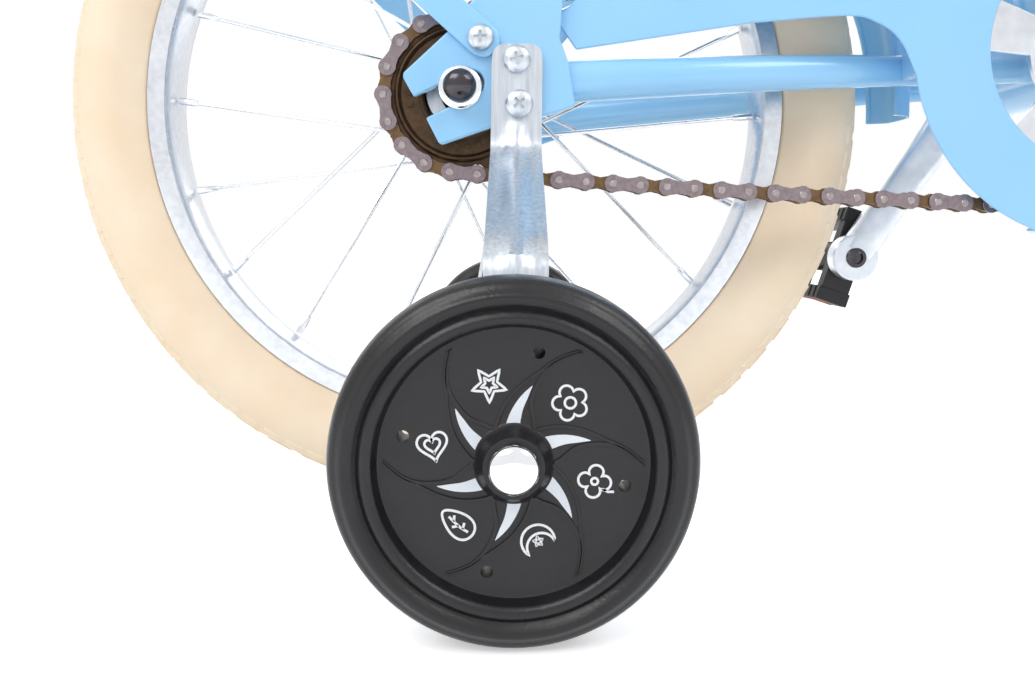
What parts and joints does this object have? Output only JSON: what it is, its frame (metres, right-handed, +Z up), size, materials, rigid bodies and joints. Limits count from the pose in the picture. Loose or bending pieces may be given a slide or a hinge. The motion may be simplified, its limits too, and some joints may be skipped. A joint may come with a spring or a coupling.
{
  "type": "kids bike with training wheels",
  "caption": "Small blue bicycle with cream tyres, chain guard, mudguards, side-pull brakes and bolt-on training wheels beside the rear wheel.",
  "frame": {"origin": "on the ground, midway between the two axles", "axes": "+X to the front of the bike, +Y to its left, +Z up"},
  "size_m": [1.135, 0.5232, 0.7201],
  "materials": {
    "blue_enamel": "gloss enamel",
    "cream_rubber": "matt cream rubber",
    "polished_alloy": "polished",
    "silver_steel": "bright plated",
    "zinc_plate": "zinc plated",
    "browned_steel": "browned",
    "chain_steel": "oiled",
    "black_plastic": "moulded",
    "cream_vinyl": "soft cream vinyl"
  },
  "bodies": {
    "frame": {"chain": "chain_steel", "chain_guard": "blue_enamel", "frame": "blue_enamel", "left_bracket_cup": "zinc_plate", "left_bracket_screw_lower": "zinc_plate", "left_bracket_screw_upper": "zinc_plate", "left_mudguard_stay": "blue_enamel", "left_rear_axle_nut": "silver_steel", "left_stay_screw": "zinc_plate", "left_training_axle": "silver_steel", "left_training_bracket": "zinc_plate", "lower_headset_cup": "silver_steel", "rear_axle": "zinc_plate", "rear_brake_bolt": "silver_steel", "rear_brake_cable": "black_plastic", "rear_mudguard": "blue_enamel", "right_bracket_cup": "zinc_plate", "right_bracket_screw_lower": "zinc_plate", "right_bracket_screw_upper": "zinc_plate", "right_mudguard_stay": "blue_enamel", "right_rear_axle_nut": "silver_steel", "right_stay_screw": "zinc_plate", "right_training_axle": "silver_steel", "right_training_bracket": "zinc_plate", "seat_clamp": "silver_steel", "upper_headset_cup": "silver_steel"},
    "rear_wheel": {"rear_tyre": "cream_rubber", "rear_rim": "polished_alloy", "rear_hub": "zinc_plate"},
    "freewheel": {"freewheel": "browned_steel"},
    "crank": {"crank_spindle": "silver_steel", "chainring": "silver_steel", "right_crank": "silver_steel", "left_crank": "silver_steel"},
    "right_pedal": {"right_pedal": "black_plastic"},
    "left_pedal": {"left_pedal": "black_plastic"},
    "right_training_wheel": {"right_training_wheel": "black_plastic"},
    "left_training_wheel": {"left_training_wheel": "black_plastic"},
    "seat": {"seat_post": "silver_steel", "saddle": "cream_vinyl"},
    "steering": {"fork": "blue_enamel", "stem": "polished_alloy", "handlebar": "polished_alloy", "right_grip": "cream_vinyl", "left_grip": "cream_vinyl", "front_axle": "silver_steel", "front_mudguard": "blue_enamel", "front_brake_cable": "black_plastic", "front_brake_bolt": "silver_steel", "right_lever_bracket": "black_plastic", "left_lever_bracket": "black_plastic"},
    "right_brake_lever": {"right_brake_lever": "black_plastic"},
    "left_brake_lever": {"left_brake_lever": "black_plastic"},
    "right_rear_brake_arm": {"right_rear_brake_arm": "silver_steel"},
    "left_rear_brake_arm": {"left_rear_brake_arm": "silver_steel"},
    "right_front_brake_arm": {"right_front_brake_arm": "silver_steel"},
    "left_front_brake_arm": {"left_front_brake_arm": "silver_steel"},
    "front_wheel": {"front_tyre": "cream_rubber", "front_rim": "polished_alloy", "front_hub": "zinc_plate"}
  },
  "joints": [
    {"name": "rear_wheel_spin", "type": "hinge", "parent": "frame", "child": "rear_wheel", "pos_m": [-0.3675, 0, 0.2], "axis": [0, 1, 0], "continuous": true},
    {"name": "crank_spin", "type": "hinge", "parent": "frame", "child": "crank", "pos_m": [-0.0719, 0, 0.219], "axis": [0, 1, 0], "continuous": true, "deforming": ["chain"]},
    {"name": "freewheel_spin", "type": "hinge", "parent": "frame", "child": "freewheel", "pos_m": [-0.3675, 0, 0.2], "axis": [0, 1, 0], "continuous": true},
    {"name": "right_pedal_spin", "type": "hinge", "parent": "crank", "child": "right_pedal", "pos_m": [-0.00818, 0, 0.31712], "axis": [0, 1, 0], "continuous": true},
    {"name": "left_pedal_spin", "type": "hinge", "parent": "crank", "child": "left_pedal", "pos_m": [-0.13562, 0, 0.12088], "axis": [0, 1, 0], "continuous": true},
    {"name": "right_training_wheel_spin", "type": "hinge", "parent": "frame", "child": "right_training_wheel", "pos_m": [-0.3448, 0, 0.0605], "axis": [0, 1, 0], "continuous": true},
    {"name": "left_training_wheel_spin", "type": "hinge", "parent": "frame", "child": "left_training_wheel", "pos_m": [-0.3448, 0, 0.0605], "axis": [0, 1, 0], "continuous": true},
    {"name": "seat_height", "type": "slide", "parent": "frame", "child": "seat", "axis": [-0.3256, 0, 0.9455], "range_m": [-0.03, 0.06]},
    {"name": "steer", "type": "hinge", "parent": "frame", "child": "steering", "pos_m": [0.24833, 0, 0.4397], "axis": [-0.342, 0, 0.9397], "range_deg": [-60, 60], "deforming": ["rear_brake_cable"]},
    {"name": "front_wheel_spin", "type": "hinge", "parent": "steering", "child": "front_wheel", "pos_m": [0.3675, 0, 0.2], "axis": [0, 1, 0], "continuous": true},
    {"name": "right_brake_lever_pull", "type": "hinge", "parent": "steering", "child": "right_brake_lever", "pos_m": [0.21098, -0.14034, 0.69869], "axis": [-0.0869, 0.0769, -0.9932], "range_deg": [0, 15], "stiffness_Nm_per_rad": 0.3},
    {"name": "left_brake_lever_pull", "type": "hinge", "parent": "steering", "child": "left_brake_lever", "pos_m": [0.21098, 0.14034, 0.69869], "axis": [0.0869, 0.0769, 0.9932], "range_deg": [0, 15], "stiffness_Nm_per_rad": 0.3},
    {"name": "right_rear_brake_arm_turn", "type": "hinge", "parent": "frame", "child": "right_rear_brake_arm", "pos_m": [-0.20884, 0, 0.37807], "axis": [0.7466, 0, -0.6652], "range_deg": [0, 1.5]},
    {"name": "left_rear_brake_arm_turn", "type": "hinge", "parent": "frame", "child": "left_rear_brake_arm", "pos_m": [-0.20884, 0, 0.37807], "axis": [-0.7466, 0, 0.6652], "range_deg": [0, 1.5]},
    {"name": "right_front_brake_arm_turn", "type": "hinge", "parent": "steering", "child": "right_front_brake_arm", "pos_m": [0.25517, 0, 0.4209], "axis": [0.9397, 0, 0.342], "range_deg": [0, 1.5]},
    {"name": "left_front_brake_arm_turn", "type": "hinge", "parent": "steering", "child": "left_front_brake_arm", "pos_m": [0.25517, 0, 0.4209], "axis": [-0.9397, 0, -0.342], "range_deg": [0, 1.5]}
  ],
  "couplings": [
    {"joint": "freewheel_spin", "follows": "crank_spin", "ratio": 2},
    {"joint": "right_rear_brake_arm_turn", "follows": "right_brake_lever_pull", "ratio": 0.1},
    {"joint": "left_rear_brake_arm_turn", "follows": "right_brake_lever_pull", "ratio": 0.1},
    {"joint": "right_front_brake_arm_turn", "follows": "left_brake_lever_pull", "ratio": 0.1},
    {"joint": "left_front_brake_arm_turn", "follows": "left_brake_lever_pull", "ratio": 0.1}
  ]
}
